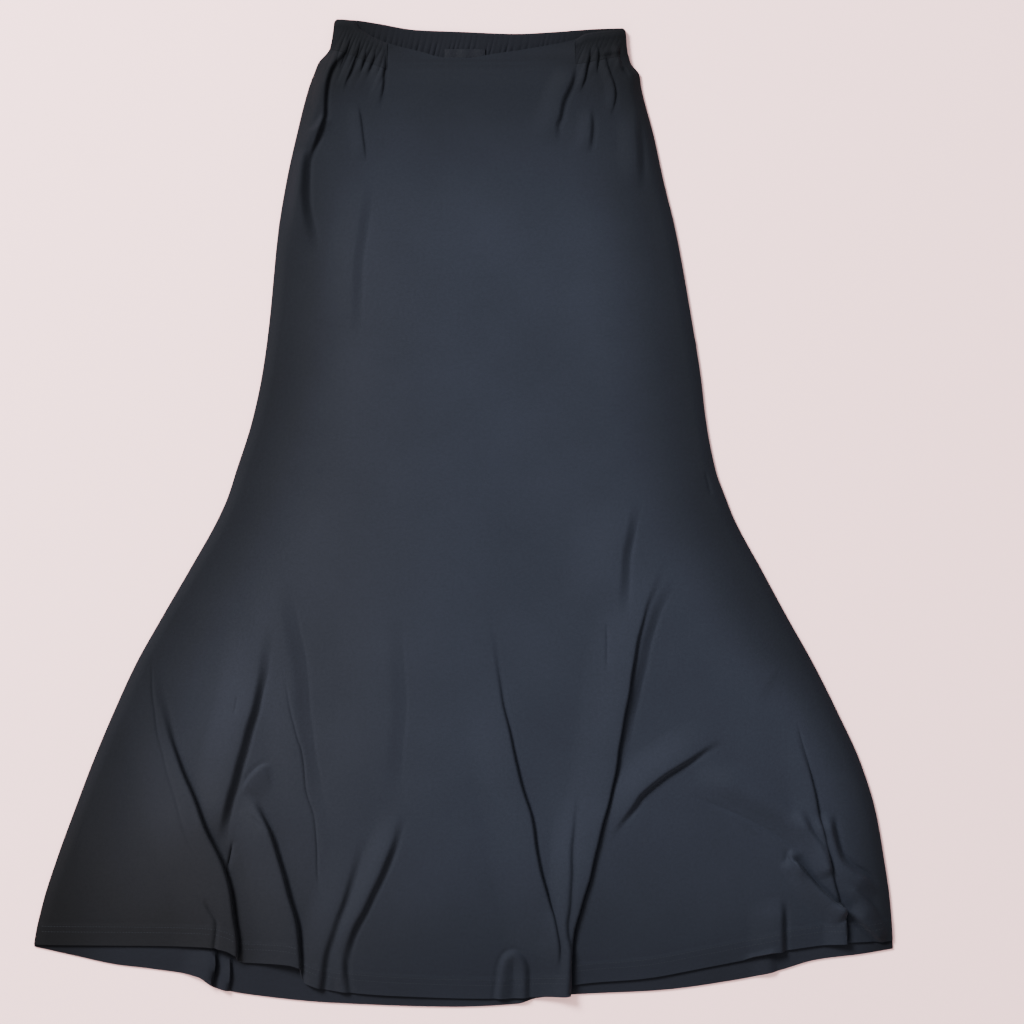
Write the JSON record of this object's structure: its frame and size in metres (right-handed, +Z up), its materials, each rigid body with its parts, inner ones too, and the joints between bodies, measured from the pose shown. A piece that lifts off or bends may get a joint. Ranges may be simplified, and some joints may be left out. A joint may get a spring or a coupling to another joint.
{
  "type": "skirt",
  "caption": "Long trumpet skirt in black stretch crepe, laid flat front up, with gathered elastic casings at the sides and back of the waist and a flared hem.",
  "frame": {"origin": "on the surface that the skirt lies on, under the middle of its bounding box", "axes": "+Y towards the waist, along the skirt's length; +X to the right seen from above, across it; +Z up, out of the front"},
  "size_m": [0.8925, 1.0261, 0.0201],
  "materials": {
    "front_crepe": "matte stretch crepe with a faint sheen",
    "back_crepe": "matte stretch crepe, inner face",
    "casing_inside": "puckered crepe over elastic, inner face",
    "casing_crepe": "puckered crepe over elastic",
    "label_satin": "plain woven satin"
  },
  "bodies": {
    "root": {"front_panel": "front_crepe", "back_panel": "back_crepe", "back_waist_casing": "casing_inside", "front_casing_left": "casing_crepe", "front_casing_right": "casing_crepe", "label": "label_satin"}
  },
  "joints": []
}
